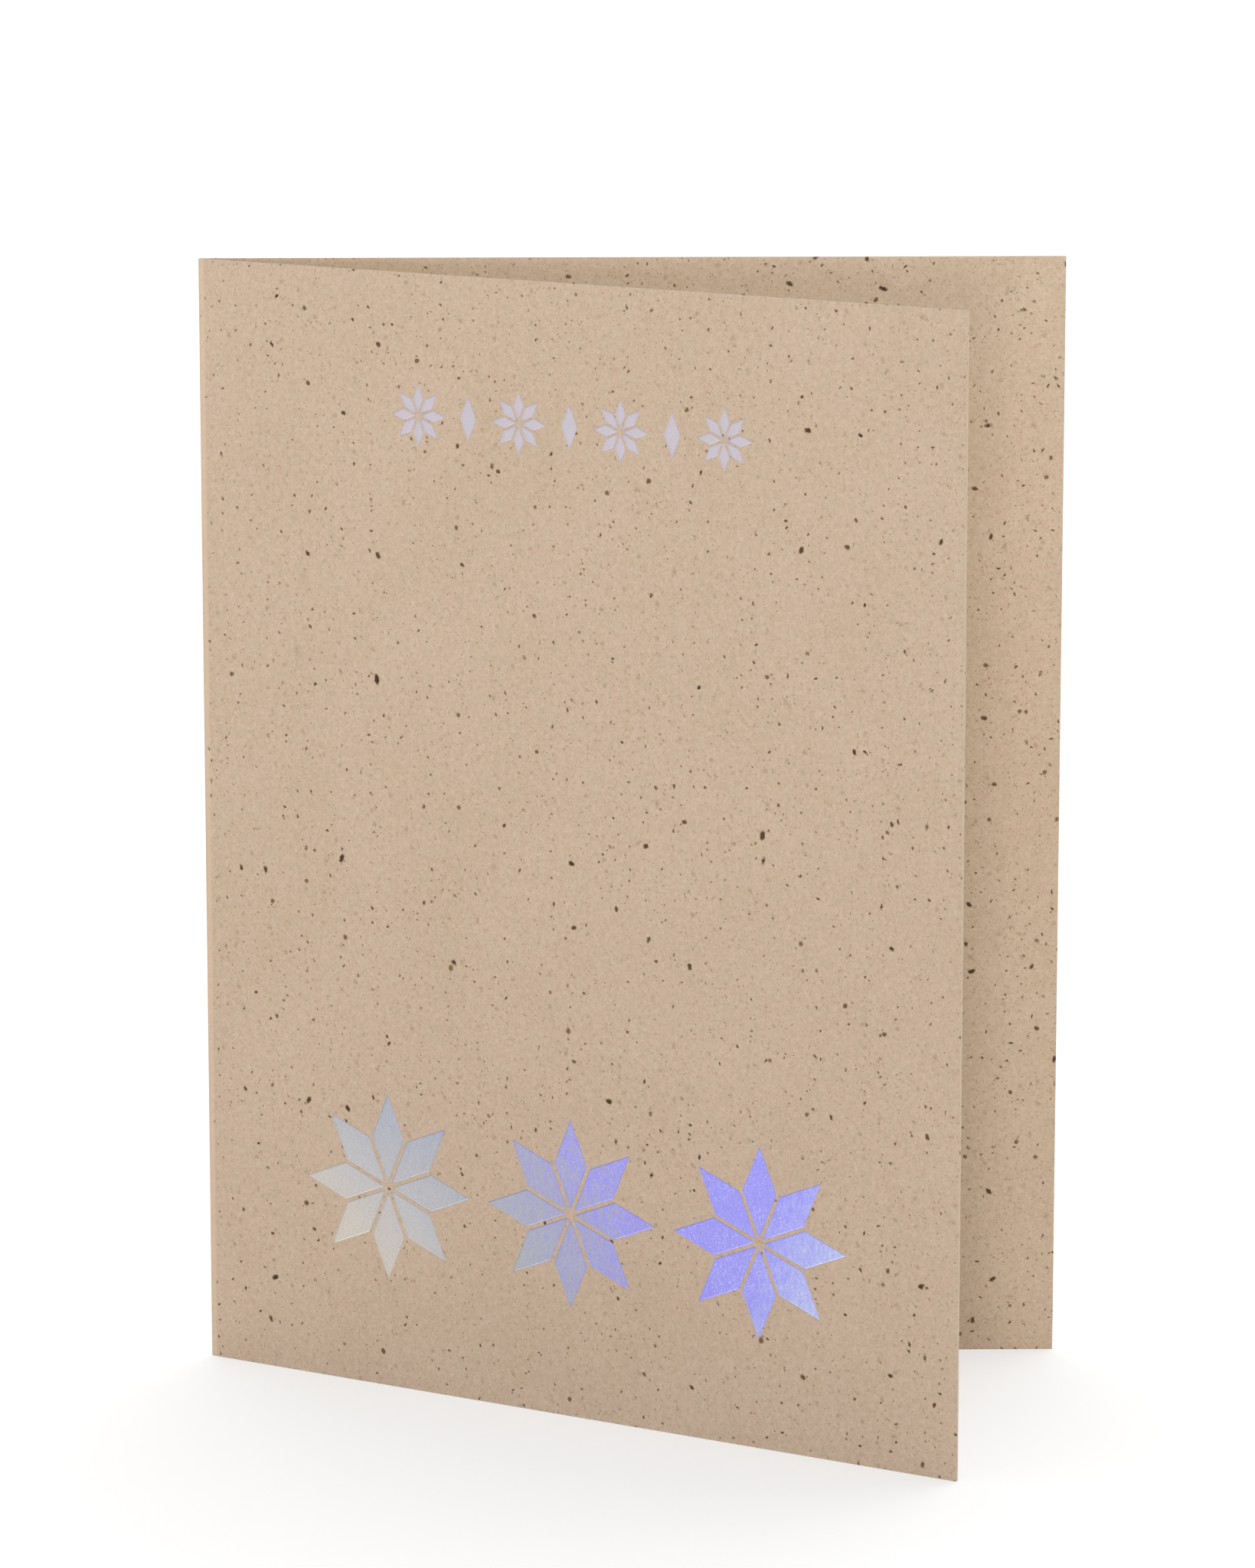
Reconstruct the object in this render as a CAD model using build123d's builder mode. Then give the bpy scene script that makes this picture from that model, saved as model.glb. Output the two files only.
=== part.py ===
"""A folded greeting card that stands half open, with foil shapes stamped into its cover.

The card is one sheet of board, creased and folded once. The back panel stands parallel to the XZ
plane, the fold is at its -X end, and the cover swings from there towards -Y. The card stands on
its lower edge at Z = 0, and the origin is under the middle of the box that it fills.
"""

from build123d import *
import os
from functools import partial
from math import cos, radians, sin, tan

os.makedirs("parts", exist_ok=True)

# Sheet, in millimetres. A panel's width runs from the fold's outside to its free edge
cover_width = 107.5
back_width = 107.5
panel_height = 140.4
stock_thickness = 0.42
opening_angle = 32.0

# Crease, with the bead that creasing raises inside the fold
crease_inner_radius = 0.12
crease_bead_radius = 0.32

# Stamping: the board rolls down into each shape, and the foil lines its floor and climbs its side
stamp_depth = 0.12
stamp_draft = 50.0
foil_thickness = 0.02
foil_rise = 0.09

# Row of large stars near the foot of the cover, placed by its height above the lower edge
large_row_height = 25.7
large_star_count = 3
large_star_pitch = 26.6
large_star_radius = 11.7
large_star_gap = 0.7

# Row of small stars near the top of the cover, with a lozenge between each two, placed by its
# depth below the upper edge
small_row_drop = 17.3
small_star_count = 4
small_star_pitch = 14.3
small_star_radius = 3.6
small_star_gap = 0.46
lozenge_length = 5.0

rays_per_star = 8

# Where the sheet lies, seen from above
crease_outer_radius = crease_inner_radius + stock_thickness
bend_angle = 180 - opening_angle
cover_turn = radians(opening_angle)
cover_along = Vector(cos(cover_turn), -sin(cover_turn), 0)
cover_outward = Vector(-sin(cover_turn), -cos(cover_turn), 0)
cover_run = cover_width - crease_outer_radius
back_run = back_width - crease_outer_radius
cover_reach = cover_run * sin(cover_turn) + crease_outer_radius * cos(cover_turn)
overall_width = max(back_width, crease_outer_radius + cover_run * cos(cover_turn))
crease_centre = Vector(crease_outer_radius - overall_width / 2, (cover_reach - crease_outer_radius) / 2)

# The cover's outer face: its X runs from the fold to the free edge, and its Y runs up
cover_corner = crease_centre + (cover_outward - cover_along) * crease_outer_radius
cover_face = Plane(origin=cover_corner, x_dir=cover_along, z_dir=cover_outward)
stamp_floor = cover_face.offset(-stamp_depth)

# The foil's upper side: parallel to the floor, and to the sloping sides at the same thickness
foil_floor = stamp_floor.offset(foil_thickness)
side_slope = radians(stamp_draft)
foil_inset = foil_thickness * (1 - sin(side_slope)) / cos(side_slope)

# A star is a ring of rhombs with a gap of even width between their sides
ray_half_angle = radians(180 / rays_per_star)


def row_places(count, pitch, height):
    """Centres of a row of shapes on the cover, spread evenly about its middle."""
    first = (cover_width - pitch * (count - 1)) / 2
    return [(first + pitch * i, height) for i in range(count)]


def rhomb(length, inset):
    """One rhomb, as slender as a star's ray, with its long way along the local X axis."""
    x = length / 2 - inset / sin(ray_half_angle)
    y = x * tan(ray_half_angle)
    return Polygon((x, 0), (0, y), (-x, 0), (0, -y))


def star_outline(plane, inset, place, star_radius, gap):
    """A star with one ray pointing up, each rhomb drawn in by an inset all round."""
    inner_tip = gap / (2 * sin(ray_half_angle))
    with BuildSketch(plane) as outline:
        with Locations(place):
            with PolarLocations((star_radius + inner_tip) / 2, rays_per_star, start_angle=90):
                rhomb(star_radius - inner_tip, inset)
    return outline.sketch


def lozenge_outline(plane, inset, place):
    """One upright rhomb, drawn in by an inset all round."""
    with BuildSketch(plane) as outline:
        with Locations(Location(place, 90)):
            rhomb(lozenge_length, inset)
    return outline.sketch


small_row_height = panel_height - small_row_drop
large_star_places = row_places(large_star_count, large_star_pitch, large_row_height)
small_star_places = row_places(small_star_count, small_star_pitch, small_row_height)
lozenge_places = row_places(small_star_count - 1, small_star_pitch, small_row_height)

large_star = partial(star_outline, star_radius=large_star_radius, gap=large_star_gap)
small_star = partial(star_outline, star_radius=small_star_radius, gap=small_star_gap)

stamped_shapes = {}
for number, place in enumerate(large_star_places, start=1):
    stamped_shapes[f"large_star_{number}"] = partial(large_star, place=place)
for number, place in enumerate(small_star_places, start=1):
    stamped_shapes[f"small_star_{number}"] = partial(small_star, place=place)
for number, place in enumerate(lozenge_places, start=1):
    stamped_shapes[f"small_lozenge_{number}"] = partial(lozenge_outline, place=place)

# The card: its section is drawn from above and drawn up to the panel's height
with BuildPart() as card:
    with BuildSketch() as section:
        with BuildLine():
            outer_bend = CenterArc(crease_centre, crease_outer_radius, 90, bend_angle)
            inner_bend = CenterArc(crease_centre, crease_inner_radius, 90, bend_angle)
            back_outside = PolarLine(outer_bend @ 0, back_run, 0)
            back_inside = PolarLine(inner_bend @ 0, back_run, 0)
            cover_outside = PolarLine(outer_bend @ 1, cover_run, -opening_angle)
            cover_inside = PolarLine(inner_bend @ 1, cover_run, -opening_angle)
            Line(back_outside @ 1, back_inside @ 1)
            Line(cover_outside @ 1, cover_inside @ 1)
        make_face()
        with Locations(crease_centre):
            Circle(crease_bead_radius)
    extrude(amount=panel_height)
    for shape in stamped_shapes.values():
        extrude(shape(stamp_floor, 0), amount=stamp_depth, taper=-stamp_draft, mode=Mode.SUBTRACT)
card.part.label = "card"
export_step(card.part, "parts/card.step")

# The foil: a film pressed into each sunk shape, open towards the front
for name, shape in stamped_shapes.items():
    with BuildPart() as foil:
        extrude(shape(stamp_floor, 0), amount=foil_rise, taper=-stamp_draft)
        extrude(shape(foil_floor, foil_inset), amount=foil_rise, taper=-stamp_draft, mode=Mode.SUBTRACT)
    foil.part.label = name
    export_step(foil.part, f"parts/{name}.step")
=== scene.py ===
# A greeting card of speckled kraft board that stands half open, with foil stars stamped in its cover.
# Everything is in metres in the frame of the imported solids: the card stands on Z = 0, its fold is
# at -X, and its cover faces -Y. The sizes of the materials' patterns are in millimetres.

import math

import bpy
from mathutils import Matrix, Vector


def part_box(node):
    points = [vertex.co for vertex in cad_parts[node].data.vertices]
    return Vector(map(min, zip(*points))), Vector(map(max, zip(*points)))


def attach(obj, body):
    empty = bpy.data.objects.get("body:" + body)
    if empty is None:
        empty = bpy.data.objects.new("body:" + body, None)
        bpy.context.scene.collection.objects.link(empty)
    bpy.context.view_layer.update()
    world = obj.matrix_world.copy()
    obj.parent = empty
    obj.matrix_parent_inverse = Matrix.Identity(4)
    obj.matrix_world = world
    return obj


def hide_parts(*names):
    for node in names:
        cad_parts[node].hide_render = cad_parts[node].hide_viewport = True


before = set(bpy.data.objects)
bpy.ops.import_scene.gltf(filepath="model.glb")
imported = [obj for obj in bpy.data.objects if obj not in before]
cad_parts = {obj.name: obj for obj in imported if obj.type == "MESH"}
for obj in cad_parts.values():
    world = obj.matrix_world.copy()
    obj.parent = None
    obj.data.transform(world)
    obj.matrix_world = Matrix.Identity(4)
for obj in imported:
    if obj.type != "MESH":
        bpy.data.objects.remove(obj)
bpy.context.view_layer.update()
print("frame loaded:", len(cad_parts), "nodes")

mm = 0.001

# Where the sheet lies, read from the frame
cardLow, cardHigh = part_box("card")
largeStars = [n for n in sorted(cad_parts) if n.startswith("large_star")]
smallShapes = [n for n in sorted(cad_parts) if n.startswith("small_")]


def middle(node):
    low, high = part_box(node)
    return (low + high) / 2


rowStart = middle(largeStars[0])
rowEnd = middle(largeStars[-1])
coverAlong = (rowEnd - rowStart).normalized()
coverOutward = coverAlong.cross(Vector((0, 0, 1)))
foldRadius = 0.54 * mm  # outside the bend: the crease's inner radius and the board's thickness
foldAxis = Vector((cardLow.x + foldRadius, cardHigh.y - foldRadius, 0))


# Camera, at the photograph's viewing angle: a long lens from a little above the card

cameraSettings = {
    "place": (-19.41 * mm, -768.91 * mm, 227.79 * mm),
    "tilt": 79.084,  # degrees up from looking straight down
    "turn": -1.345,  # degrees, below 0 to the right of +Y
    "lens": 148.25,
    "sensor": 36,  # on the picture's long side
    "clipStart": 0.01,
}

bpy.ops.object.select_all(action="DESELECT")
bpy.ops.object.camera_add(
    location=cameraSettings["place"],
    rotation=(math.radians(cameraSettings["tilt"]), 0, math.radians(cameraSettings["turn"])),
)
camera = bpy.context.object
camera.name = "camera"
camera.data.lens = cameraSettings["lens"]
camera.data.sensor_width = cameraSettings["sensor"]
camera.data.clip_start = cameraSettings["clipStart"]
bpy.context.scene.camera = camera
print("camera placed")


# Materials

def linear(hexColour):
    # an sRGB hex value as the linear colour that sockets take
    parts = [int(hexColour[i:i + 2], 16) / 255 for i in (0, 2, 4)]
    return [p / 12.92 if p <= 0.04045 else ((p + 0.055) / 1.055) ** 2.4 for p in parts] + [1]


def addNode(tree, kind, settings, links):
    # settings go to the node's own options, or to its sockets by name or number
    node = tree.nodes.new("ShaderNode" + kind)
    for key, value in settings.items():
        if isinstance(key, str) and hasattr(node, key):
            setattr(node, key, value)
        else:
            node.inputs[key].default_value = value
    for key, source in links.items():
        tree.links.new(source, node.inputs[key])
    return node


def newMaterial(name):
    material = bpy.data.materials.new(name)
    material.use_nodes = True
    tree = material.node_tree
    shader = tree.nodes["Principled BSDF"]
    return material, tree, shader


def placeInMm(tree):
    # Object coordinates, so that pattern sizes are in millimetres
    place = addNode(tree, "TexCoord", {}, {})
    scaled = addNode(
        tree, "VectorMath", {"operation": "SCALE", "Scale": 1 / mm}, {0: place.outputs["Object"]}
    )
    return scaled.outputs[0]


def colourBand(tree, value, stops):
    # blends from colour to colour, each with the value at which it is reached
    low, high = stops[0][0], stops[-1][0]
    spread = addNode(tree, "MapRange", {"From Min": low, "From Max": high}, {0: value})
    ramp = addNode(tree, "ValToRGB", {}, {0: spread.outputs[0]})
    elements = ramp.color_ramp.elements
    elements[0].color = linear(stops[0][1])
    elements[1].color = linear(stops[-1][1])
    for where, colour in stops[1:-1]:
        elements.new((where - low) / (high - low)).color = linear(colour)
    return ramp.outputs[0]


# The levels between which nearly all of a noise lies
noiseLevels = {"From Min": 0.25, "From Max": 0.75}


# Kraft card stock: uncoated board of unbleached and recycled pulp, dried against felt. It looks matt
# and softly pebbled, with bark and ink flecks of many sizes all through it.

boardSettings = {
    "tints": [(0.3, "D0BCA6"), (0.5, "D1BCA7"), (0.7, "D2BBA7")],  # yellower to pinker pulp
    "tintSize": 1.6,
    "insidePaintedLightTint": (1.045, 1.07, 1.055),  # painted light: the inner faces are paler and cooler, to lift the shade and warm bounce between the panels
    # paler and darker pulp, and how far its level goes to either side
    "pulp": [
        {"size": 14, "contrast": 0.014},  # clouds
        {"size": 0.7, "contrast": 0.034},  # clumps
        {"size": 0.3, "contrast": 0.045},  # fibres, a little coarser than real ones, so that they show
    ],
    "raggedSize": 0.28,  # of the bays in a fleck's outline
    "raggedReach": 0.2,
    # the fold's pale band: stretched skin, and painted highlight of the rounded fold
    "foldPaleSheenColour": "E4CDB4",
    "foldPaleSheenStrength": 0.6,
    "foldBandFrom": 0.6,  # from the fold's axis, where its pale band of stretched skin and painted highlight starts to fade
    "foldBandTo": 0.85,
    "fraySize": 0.3,
    "frayReach": 0.5,
    "toothSize": 0.3,
    "reliefHeight": 0.022 * mm,
    "roughness": 0.9,
    "specular": 0.1,
}

# A fleck's narrower radius lies between smallest and largest, and is the slender share of its longer
# radius or more. Its colour lies between dark and light, and its outline fades over the softness, a
# share of its radius.
boardFlecks = [
    # smudges of grey pulp
    {"spacing": 7, "smallest": 0.1, "largest": 1.0, "slender": 0.6, "softness": 0.9, "strength": 0.35,
     "dark": "A59A80", "light": "B5A88C", "ragged": True},
    # pale fibre clumps
    {"spacing": 0.8, "smallest": 0.02, "largest": 0.17, "slender": 0.5, "softness": 0.8, "strength": 0.3,
     "dark": "DBC5AE", "light": "E4CEB8", "ragged": True},
    # pale flecks
    {"spacing": 2.4, "smallest": 0.02, "largest": 0.13, "slender": 0.5, "softness": 0.6, "strength": 0.8,
     "dark": "E2CDB7", "light": "EBD8C4", "ragged": True},
    # broad faint spots of darker pulp
    {"spacing": 1.35, "smallest": 0.05, "largest": 0.4, "slender": 0.6, "softness": 0.8, "strength": 0.55,
     "dark": "9C856D", "light": "B8A189", "ragged": True},
    # faint spots of darker pulp
    {"spacing": 0.56, "smallest": 0.03, "largest": 0.18, "slender": 0.6, "softness": 0.8, "strength": 0.7,
     "dark": "A08669", "light": "BAA186", "ragged": True},
    # red-brown bark dust
    {"spacing": 1.3, "smallest": 0.03, "largest": 0.14, "slender": 0.7, "softness": 0.6, "strength": 0.55,
     "dark": "906A50", "light": "AC8668", "ragged": True},
    # finest dust
    {"spacing": 0.52, "smallest": 0.01, "largest": 0.085, "slender": 0.5, "softness": 0.6, "strength": 0.7,
     "dark": "7A5F45", "light": "9B8165", "ragged": False},
    # fine flecks
    {"spacing": 1.05, "smallest": 0.0, "largest": 0.15, "slender": 0.4, "softness": 0.5, "strength": 0.9,
     "dark": "54371B", "light": "9F8466", "ragged": True},
    # middling flecks
    {"spacing": 1.15, "smallest": 0.02, "largest": 0.22, "slender": 0.4, "softness": 0.5, "strength": 0.95,
     "dark": "4E3116", "light": "9F8364", "ragged": True},
    # large chips of bark
    {"spacing": 2.9, "smallest": 0.0, "largest": 0.42, "slender": 0.45, "softness": 0.4, "strength": 0.95,
     "dark": "40260C", "light": "8A6D4E", "ragged": True},
]


def roughen(tree, place):
    # pushes the pattern's place about, so that flecks get ragged outlines
    settings = boardSettings
    noise = addNode(
        tree,
        "TexNoise",
        {"Scale": 1 / settings["raggedSize"], "Detail": 3, "Roughness": 0.6},
        {"Vector": place},
    )
    centred = addNode(
        tree, "VectorMath", {"operation": "SUBTRACT", 1: (0.5, 0.5, 0.5)}, {0: noise.outputs["Color"]}
    )
    return addNode(
        tree,
        "VectorMath",
        {"operation": "MULTIPLY_ADD", 1: (2 * settings["raggedReach"],) * 3},
        {0: centred.outputs[0], 2: place},
    ).outputs[0]


def addFlecks(tree, place, paper, flecks):
    # one kind of fleck: a chip in each cell of the pulp, turned its own way, of its own size and shade
    cells = addNode(tree, "TexVoronoi", {"Scale": 1 / flecks["spacing"]}, {"Vector": place})
    chance = addNode(tree, "SeparateColor", {}, {0: cells.outputs["Color"]})
    offset = addNode(
        tree, "VectorMath", {"operation": "SUBTRACT"}, {0: place, 1: cells.outputs["Position"]}
    )
    turn = addNode(tree, "Math", {"operation": "MULTIPLY", 1: 2 * math.pi}, {0: chance.outputs[0]})
    turned = addNode(
        tree,
        "VectorRotate",
        {"rotation_type": "Y_AXIS"},
        {"Vector": offset.outputs[0], "Angle": turn.outputs[0]},
    )
    slender = addNode(
        tree, "MapRange", {"To Min": flecks["slender"], "To Max": 1}, {0: chance.outputs[2]}
    )
    drawn = addNode(tree, "CombineXYZ", {"X": 1, "Y": 1}, {"Z": slender.outputs[0]})
    shaped = addNode(
        tree, "VectorMath", {"operation": "MULTIPLY"}, {0: turned.outputs[0], 1: drawn.outputs[0]}
    )
    away = addNode(tree, "VectorMath", {"operation": "LENGTH"}, {0: shaped.outputs[0]})
    size = addNode(
        tree,
        "MapRange",
        {"To Min": flecks["smallest"], "To Max": flecks["largest"]},
        {0: chance.outputs[1]},
    )
    reach = addNode(tree, "Math", {"operation": "DIVIDE"}, {0: away.outputs["Value"], 1: size.outputs[0]})
    mask = addNode(
        tree,
        "MapRange",
        {"From Min": 1, "From Max": 1 - flecks["softness"], "To Min": 0, "To Max": flecks["strength"]},
        {0: reach.outputs[0]},
    )
    shade = addNode(
        tree,
        "Mix",
        {"data_type": "RGBA", 6: linear(flecks["dark"]), 7: linear(flecks["light"])},
        {0: chance.outputs[2]},
    )
    return addNode(
        tree, "Mix", {"data_type": "RGBA"}, {0: mask.outputs[0], 6: paper, 7: shade.outputs[2]}
    ).outputs[2]


def addFoldPalingAndSheen(tree, place, paper):
    # where the sheet was folded, its skin is stretched and rubbed paler; a painted highlight, as of the
    # rounded fold catching the light, makes the band paler still
    settings = boardSettings
    fromFold = addNode(
        tree, "VectorMath", {"operation": "SUBTRACT", 1: (foldAxis.x / mm, foldAxis.y / mm, 0)}, {0: place}
    )
    flat = addNode(tree, "VectorMath", {"operation": "MULTIPLY", 1: (1, 1, 0)}, {0: fromFold.outputs[0]})
    away = addNode(tree, "VectorMath", {"operation": "LENGTH"}, {0: flat.outputs[0]})
    fray = addNode(tree, "TexNoise", {"Scale": 1 / settings["fraySize"], "Detail": 2}, {"Vector": place})
    frayed = addNode(
        tree,
        "Math",
        {"operation": "MULTIPLY_ADD", 1: settings["frayReach"]},
        {0: fray.outputs["Fac"], 2: away.outputs["Value"]},
    )
    usualFray = settings["frayReach"] / 2
    paledAndLit = addNode(
        tree,
        "MapRange",
        {
            "From Min": settings["foldBandFrom"] + usualFray,
            "From Max": settings["foldBandTo"] + usualFray,
            "To Min": settings["foldPaleSheenStrength"],
            "To Max": 0,
        },
        {0: frayed.outputs[0]},
    )
    return addNode(
        tree,
        "Mix",
        {"data_type": "RGBA", 7: linear(settings["foldPaleSheenColour"])},
        {0: paledAndLit.outputs[0], 6: paper},
    ).outputs[2]


def finishPaper(tree, shader, paper, relief, settings):
    bump = addNode(tree, "Bump", {"Distance": settings["reliefHeight"], "Strength": 1}, {"Height": relief})
    shader.inputs["Roughness"].default_value = settings["roughness"]
    shader.inputs["Specular IOR Level"].default_value = settings["specular"]
    tree.links.new(paper, shader.inputs["Base Color"])
    tree.links.new(bump.outputs[0], shader.inputs["Normal"])


def kraftBoard(name, sideTint):
    material, tree, shader = newMaterial(name)
    place = placeInMm(tree)
    settings = boardSettings
    tint = addNode(tree, "TexNoise", {"Scale": 1 / settings["tintSize"], "Detail": 2}, {"Vector": place})
    tinted = colourBand(tree, tint.outputs["Fac"], settings["tints"])
    paper = addNode(tree, "VectorMath", {"operation": "MULTIPLY", 1: sideTint}, {0: tinted}).outputs[0]

    # the paler pulp is also less brown, so its level is added rather than multiplied
    for pulp in settings["pulp"]:
        noise = addNode(tree, "TexNoise", {"Scale": 1 / pulp["size"], "Detail": 2}, {"Vector": place})
        level = addNode(
            tree,
            "MapRange",
            {**noiseLevels, "To Min": -pulp["contrast"], "To Max": pulp["contrast"]},
            {0: noise.outputs["Fac"]},
        )
        added = addNode(tree, "VectorMath", {"operation": "ADD"}, {0: paper, 1: level.outputs[0]})
        paper = added.outputs[0]

    raggedPlace = roughen(tree, place)
    for flecks in boardFlecks:
        paper = addFlecks(tree, raggedPlace if flecks["ragged"] else place, paper, flecks)
    paper = addFoldPalingAndSheen(tree, place, paper)
    tooth = addNode(
        tree, "TexNoise", {"Scale": 1 / settings["toothSize"], "Detail": 2.5}, {"Vector": place}
    )
    finishPaper(tree, shader, paper, tooth.outputs["Fac"], settings)
    return material


# The board's guillotined edge: torn and pressed fibre in thin layers. It looks paler and plainer
# than the faces at the free ends; along the top and the foot it is darker, a painted shade against the
# light from above.

edgeSettings = {
    "fibres": [(0.3, "D0BDA5"), (0.6, "DECDB7")],
    "flecks": boardFlecks[-3:],  # the dark kinds, which show on a thin edge
    "freeTint": 1,
    # painted shade: the level cut edges are darkened, so that the light from above doesn't make the top a
    # pale line
    "topAndFootShadeTint": 0.68,
    "layerSize": 0.07,
    "layerLength": 2.5,
    "reliefHeight": 0.02 * mm,
    "roughness": 0.95,
    "specular": 0.2,
}


def cutKraft(name, sideTint):
    material, tree, shader = newMaterial(name)
    place = placeInMm(tree)
    settings = edgeSettings
    fine = 1 / settings["layerSize"]
    long = 1 / settings["layerLength"]
    layers = addNode(tree, "VectorMath", {"operation": "MULTIPLY", 1: (fine, fine, long)}, {0: place})
    noise = addNode(tree, "TexNoise", {"Scale": 1, "Detail": 2}, {"Vector": layers.outputs[0]})
    fibres = colourBand(tree, noise.outputs["Fac"], settings["fibres"])
    paper = addNode(tree, "VectorMath", {"operation": "SCALE", "Scale": sideTint}, {0: fibres}).outputs[0]
    for flecks in settings["flecks"]:
        paper = addFlecks(tree, place, paper, flecks)
    finishPaper(tree, shader, paper, noise.outputs["Fac"], settings)
    return material


# Hot-stamped iridescent foil: a metallised film with a fine diffraction relief, ironed onto the board.
# It looks like satin silver that slides into violet and pale blue, with the board's tooth pressed
# through it and small soft specks that catch the light.

foilSettings = {
    "toothSize": 0.3,
    "toothHeight": 0.022 * mm,
    "roughness": 0.42,
    "roughnessSpread": 0.08,  # to either side
    "grainSize": 0.14,  # coarser than the real relief, so that it shows
}

rowFoilSettings = {
    # along the row of large stars, from its first star's middle at 0 to its last star's at 1
    # painted reflection: the violet and pale blue that the film throws back from the lamps, laid along the
    # row; the grey silver is the film's own
    "colours": [
        (-0.30, "CCC4BA"),
        (0.00, "BDBCBE"),
        (0.25, "B0B2BB"),
        (0.50, "A9A8CC"),
        (0.75, "A09BEF"),
        (1.00, "A3A0F6"),
        (1.15, "B3B8F0"),
        (1.30, "C4D0F0"),
    ],
    "fanMiddle": 0.78,  # of the row, where the bands of colour lean neither left nor right
    "fanSpread": 0.035,  # how much broader they are for each mm further up
    "streakWidth": 0.45,
    "streakLength": 1.3,
    "streakReach": 0.75,  # of the row, how far a streak carries its colour
    # streaks strengthen over one stretch of the row and weaken over another
    "streakStretches": [
        {"From Min": 0.05, "From Max": 0.45, "To Min": 0.2, "To Max": 1},
        {"From Min": 0.65, "From Max": 0.9, "To Min": 1, "To Max": 0.5},
    ],
    # painted glints: pale specks, gathered in painted patches of sheen
    "speckSize": 0.22,
    "glintColour": "D6D8FC",
    "speckLevels": {"From Min": 0.5, "From Max": 0.72},
    # specks are faint where the film is grey, and clear where it is violet and pale blue
    "speckStretch": {"From Min": 0.4, "From Max": 0.9, "To Min": 0.08, "To Max": 0.65},
    "patchSize": 5,
    "patchLevels": {"From Min": 0.4, "From Max": 0.6, "To Min": 0.4, "To Max": 1},
    "grainContrast": 0.12,
}

# The upper row is seen where the film shows its silver and lilac
upperFoilSettings = {
    "colours": [(0.0, "C4C1C6"), (0.5, "C8C0C8"), (1.0, "CEC2CC")],
    "driftSize": 5,
    "grainContrast": 0.06,
}


def alongRow(tree, place):
    # the bands of colour fan out upwards, as they do under a lamp that hangs near the card
    settings = rowFoilSettings
    rowLength = (rowEnd - rowStart).length / mm
    fromStart = addNode(tree, "VectorMath", {"operation": "SUBTRACT", 1: rowStart / mm}, {0: place})
    along = addNode(
        tree,
        "VectorMath",
        {"operation": "DOT_PRODUCT", 1: coverAlong / rowLength},
        {0: fromStart.outputs[0]},
    )
    height = addNode(tree, "SeparateXYZ", {}, {0: fromStart.outputs[0]}).outputs[2]
    spread = settings["fanSpread"]
    slowed = addNode(tree, "Math", {"operation": "MULTIPLY_ADD", 1: -spread, 2: 1}, {0: height})
    moved = addNode(
        tree, "Math", {"operation": "MULTIPLY", 1: settings["fanMiddle"] * spread}, {0: height}
    )
    return addNode(
        tree,
        "Math",
        {"operation": "MULTIPLY_ADD"},
        {0: along.outputs["Value"], 1: slowed.outputs[0], 2: moved.outputs[0]},
    ).outputs[0]


def addStreaks(tree, place, along):
    # brushed streaks carry each colour into the next, most of all where violet begins
    settings = rowFoilSettings
    across = 1 / settings["streakWidth"]
    down = 1 / settings["streakLength"]
    brushed = addNode(tree, "VectorMath", {"operation": "MULTIPLY", 1: (across, across, down)}, {0: place})
    streaks = addNode(tree, "TexNoise", {"Scale": 1, "Detail": 2}, {"Vector": brushed.outputs[0]})
    carried = addNode(tree, "Math", {"operation": "SUBTRACT", 1: 0.5}, {0: streaks.outputs["Fac"]})
    for stretch in settings["streakStretches"]:
        share = addNode(tree, "MapRange", {"interpolation_type": "SMOOTHSTEP", **stretch}, {0: along})
        carried = addNode(
            tree, "Math", {"operation": "MULTIPLY"}, {0: carried.outputs[0], 1: share.outputs[0]}
        )
    return addNode(
        tree,
        "Math",
        {"operation": "MULTIPLY_ADD", 1: settings["streakReach"]},
        {0: carried.outputs[0], 2: along},
    ).outputs[0]


def addPaintedGlints(tree, place, along, film):
    # painted glints: pale specks on the tops of the board's tooth, pressed flat, where they would catch
    # the light, gathered in painted patches of sheen
    settings = rowFoilSettings
    specks = addNode(
        tree, "TexNoise", {"Scale": 1 / settings["speckSize"], "Detail": 2}, {"Vector": place}
    )
    patches = addNode(
        tree, "TexNoise", {"Scale": 1 / settings["patchSize"], "Detail": 1}, {"Vector": place}
    )
    gathered = addNode(tree, "MapRange", settings["patchLevels"], {0: patches.outputs["Fac"]})
    strength = addNode(tree, "MapRange", settings["speckStretch"], {0: along})
    most = addNode(
        tree, "Math", {"operation": "MULTIPLY"}, {0: gathered.outputs[0], 1: strength.outputs[0]}
    )
    mask = addNode(
        tree,
        "MapRange",
        {**settings["speckLevels"], "To Min": 0},
        {0: specks.outputs["Fac"], "To Max": most.outputs[0]},
    )
    return addNode(
        tree,
        "Mix",
        {"data_type": "RGBA", 7: linear(settings["glintColour"])},
        {0: mask.outputs[0], 6: film},
    ).outputs[2]


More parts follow.
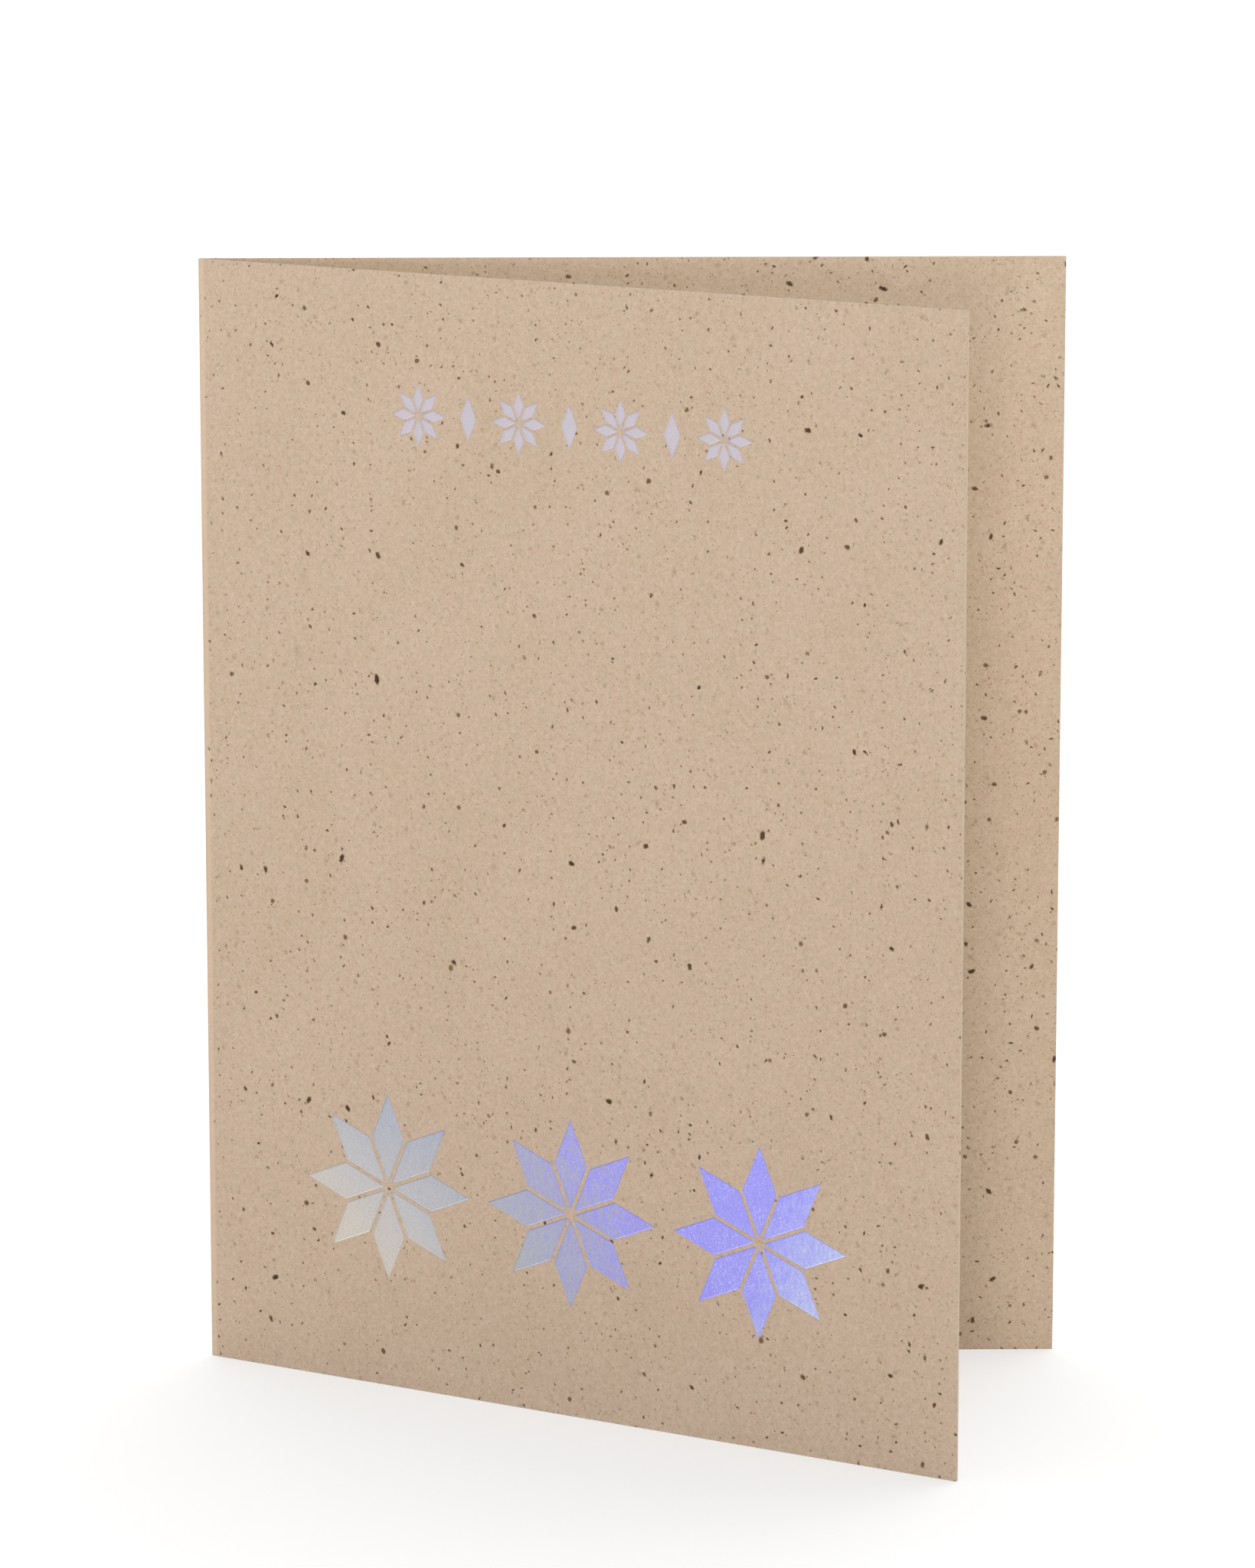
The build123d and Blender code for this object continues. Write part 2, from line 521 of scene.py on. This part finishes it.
def finishFoil(tree, shader, place, film, contrast):
    settings = foilSettings
    tooth = addNode(tree, "TexNoise", {"Scale": 1 / settings["toothSize"], "Detail": 3}, {"Vector": place})
    grain = addNode(tree, "TexNoise", {"Scale": 1 / settings["grainSize"], "Detail": 1}, {"Vector": place})
    level = addNode(
        tree,
        "MapRange",
        {**noiseLevels, "To Min": 1 - contrast, "To Max": 1 + contrast},
        {0: grain.outputs["Fac"]},
    )
    grained = addNode(tree, "VectorMath", {"operation": "SCALE"}, {0: film, "Scale": level.outputs[0]})
    bump = addNode(
        tree,
        "Bump",
        {"Distance": settings["toothHeight"], "Strength": 1},
        {"Height": tooth.outputs["Fac"]},
    )
    glossy = settings["roughness"] - settings["roughnessSpread"]
    matt = settings["roughness"] + settings["roughnessSpread"]
    roughness = addNode(tree, "MapRange", {"To Min": glossy, "To Max": matt}, {0: tooth.outputs["Fac"]})
    shader.inputs["Metallic"].default_value = 1
    tree.links.new(grained.outputs[0], shader.inputs["Base Color"])
    tree.links.new(roughness.outputs[0], shader.inputs["Roughness"])
    tree.links.new(bump.outputs[0], shader.inputs["Normal"])


def iridescentFoil():
    material, tree, shader = newMaterial("iridescentFoil")
    place = placeInMm(tree)
    along = alongRow(tree, place)
    film = colourBand(tree, addStreaks(tree, place, along), rowFoilSettings["colours"])
    film = addPaintedGlints(tree, place, along, film)
    finishFoil(tree, shader, place, film, rowFoilSettings["grainContrast"])
    return material


def lilacFoil():
    material, tree, shader = newMaterial("lilacFoil")
    place = placeInMm(tree)
    settings = upperFoilSettings
    drift = addNode(tree, "TexNoise", {"Scale": 1 / settings["driftSize"], "Detail": 2}, {"Vector": place})
    film = colourBand(tree, drift.outputs["Fac"], settings["colours"])
    finishFoil(tree, shader, place, film, settings["grainContrast"])
    return material


# The card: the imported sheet's own shape, with its cut edges softened

sheetSettings = {
    "mergeUnder": 0.001 * mm,
    "dissolveUnder": 1,  # degrees
    "cutFrom": 70,  # degrees between two faces, from which they meet at a cut edge
    "cutBevel": 0.05 * mm,
    "segments": 2,
    "smoothUnder": 35,  # degrees
    "squareFrom": 0.98,  # share of a face's normal along the direction that it is square to
    "levelFrom": 0.5,  # the same for a face that is level
}


def cardSheet():
    settings = sheetSettings
    sheet = bpy.data.objects.new("cardSheet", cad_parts["card"].data.copy())
    bpy.context.collection.objects.link(sheet)
    bpy.ops.object.select_all(action="DESELECT")
    sheet.select_set(True)
    bpy.context.view_layer.objects.active = sheet
    sheet.data.materials.clear()
    sheet.data.materials.append(kraftBoard("kraftOutside", (1, 1, 1)))
    # the inner faces get a copy of the board lifted with painted light
    sheet.data.materials.append(kraftBoard("kraftInsidePaintedLight", boardSettings["insidePaintedLightTint"]))
    # the top and foot edges get a copy darkened with painted shade
    sheet.data.materials.append(cutKraft("cutTopAndFootShaded", edgeSettings["topAndFootShadeTint"]))
    sheet.data.materials.append(cutKraft("cutFreeEnds", edgeSettings["freeTint"]))
    outside, inside, topAndFoot, freeEnds = range(4)

    bpy.ops.object.mode_set(mode="EDIT")
    bpy.ops.mesh.customdata_custom_splitnormals_clear()
    bpy.ops.mesh.select_all(action="SELECT")
    bpy.ops.mesh.remove_doubles(threshold=settings["mergeUnder"])
    bpy.ops.mesh.dissolve_limited(angle_limit=math.radians(settings["dissolveUnder"]))
    bpy.ops.mesh.select_all(action="DESELECT")
    bpy.ops.mesh.select_mode(type="EDGE")
    bpy.ops.mesh.edges_select_sharp(sharpness=math.radians(settings["cutFrom"]))
    bpy.ops.mesh.bevel(offset=settings["cutBevel"], segments=settings["segments"])
    bpy.ops.object.mode_set(mode="OBJECT")

    # faces of the cut edges are level, or lie square to their panel at its free end
    square = settings["squareFrom"]
    for face in sheet.data.polygons:
        if face.normal.dot(coverOutward) < -square or face.normal.y < -square:
            face.material_index = inside
        elif abs(face.normal.z) > settings["levelFrom"]:
            face.material_index = topAndFoot
        elif face.center.x > 0 and max(face.normal.dot(coverAlong), face.normal.x) > square:
            face.material_index = freeEnds
        else:
            face.material_index = outside

    bpy.ops.object.shade_smooth_by_angle(angle=math.radians(settings["smoothUnder"]))
    modifier = sheet.modifiers.new("evenNormals", "WEIGHTED_NORMAL")
    modifier.keep_sharp = True
    bpy.ops.object.modifier_apply(modifier=modifier.name)
    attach(sheet, "root")
    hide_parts("card")


cardSheet()
print("card sheet made")


def dress(node, material):
    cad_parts[node].data.materials.clear()
    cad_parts[node].data.materials.append(material)


rowFoil = iridescentFoil()
for node in largeStars:
    dress(node, rowFoil)
upperFoil = lilacFoil()
for node in smallShapes:
    dress(node, upperFoil)
print("foil dressed")


# Floor, lamps and world

stageSettings = {
    "floorSize": 16,
    "floorColour": "CAC1B7",
    # what the camera gets, with the glow, so that the floor is white and keeps a soft shadow
    "shownColour": "B0B0B0",
    "floorGlow": 0.56,
    "worldLevel": 0.66,
}

# Far lamps light all alike: the degrees to the left of the front and above the floor that they come
# from, their breadth in degrees, and whether they light the card and shine in its foil
farLamps = {
    "frontLamp": {"energy": 0.66, "left": 7.5, "up": 0, "breadth": 8, "lights": True, "shines": False},
    "rightLamp": {"energy": 0.62, "left": -10, "up": 10, "breadth": 45, "lights": True, "shines": False},
    "backLamp": {"energy": 2.0, "left": -165, "up": 56, "breadth": 70, "lights": True, "shines": True},
    "rimLamp": {"energy": 0.6, "left": 110, "up": 35, "breadth": 60, "lights": False, "shines": True},
}

# The near lamp hangs over the fold, so that its light fades down and to the right
nearLamp = {"place": (-0.30, -0.15, 0.35), "size": 0.15, "energy": 0.065}


def seenRays(tree):
    # 1 for rays by which the camera sees, mirrored or through glass too, and 0 for rays of light
    ray = addNode(tree, "LightPath", {}, {})
    seen = ray.outputs["Is Camera Ray"]
    for kind in ("Is Glossy Ray", "Is Transmission Ray"):
        seen = addNode(tree, "Math", {"operation": "MAXIMUM"}, {0: seen, 1: ray.outputs[kind]}).outputs[0]
    return seen


def paleFloor():
    material, tree, shader = newMaterial("paleFloor")
    settings = stageSettings
    seen = seenRays(tree)
    glow = addNode(tree, "Math", {"operation": "MULTIPLY", 1: settings["floorGlow"]}, {0: seen})
    colour = addNode(
        tree,
        "Mix",
        {"data_type": "RGBA", 6: linear(settings["floorColour"]), 7: linear(settings["shownColour"])},
        {0: seen},
    )
    shader.inputs["Roughness"].default_value = 1
    shader.inputs["Specular IOR Level"].default_value = 0
    shader.inputs["Emission Color"].default_value = (1, 1, 1, 1)
    tree.links.new(colour.outputs[2], shader.inputs["Base Color"])
    tree.links.new(glow.outputs[0], shader.inputs["Emission Strength"])
    return material


def studio():
    world = bpy.data.worlds.new("studio")
    world.use_nodes = True
    tree = world.node_tree
    background = tree.nodes["Background"]
    background.inputs["Color"].default_value = (1, 1, 1, 1)
    level = addNode(
        tree, "MapRange", {"To Min": stageSettings["worldLevel"], "To Max": 1}, {0: seenRays(tree)}
    )
    tree.links.new(level.outputs[0], background.inputs["Strength"])
    return world


bpy.ops.object.select_all(action="DESELECT")
bpy.ops.mesh.primitive_plane_add(size=stageSettings["floorSize"])
floor = bpy.context.object
floor.name = "floor"
floor.data.materials.append(paleFloor())

for name, settings in farLamps.items():
    bpy.ops.object.light_add(
        type="SUN", rotation=(math.radians(90 - settings["up"]), 0, math.radians(-settings["left"]))
    )
    lamp = bpy.context.object
    lamp.name = name
    lamp.data.energy = settings["energy"]
    lamp.data.angle = math.radians(settings["breadth"])
    lamp.visible_diffuse = settings["lights"]
    lamp.visible_glossy = settings["shines"]

cardMiddle = Vector((0, 0, cardHigh.z / 2))
bpy.ops.object.light_add(type="AREA", location=nearLamp["place"])
lamp = bpy.context.object
lamp.name = "nearLamp"
lamp.rotation_euler = (cardMiddle - lamp.location).to_track_quat("-Z", "Y").to_euler()
lamp.data.size = nearLamp["size"]
lamp.data.energy = nearLamp["energy"]

bpy.context.scene.world = studio()
bpy.context.scene.view_settings.view_transform = "Standard"
print("floor, lamps and world placed")
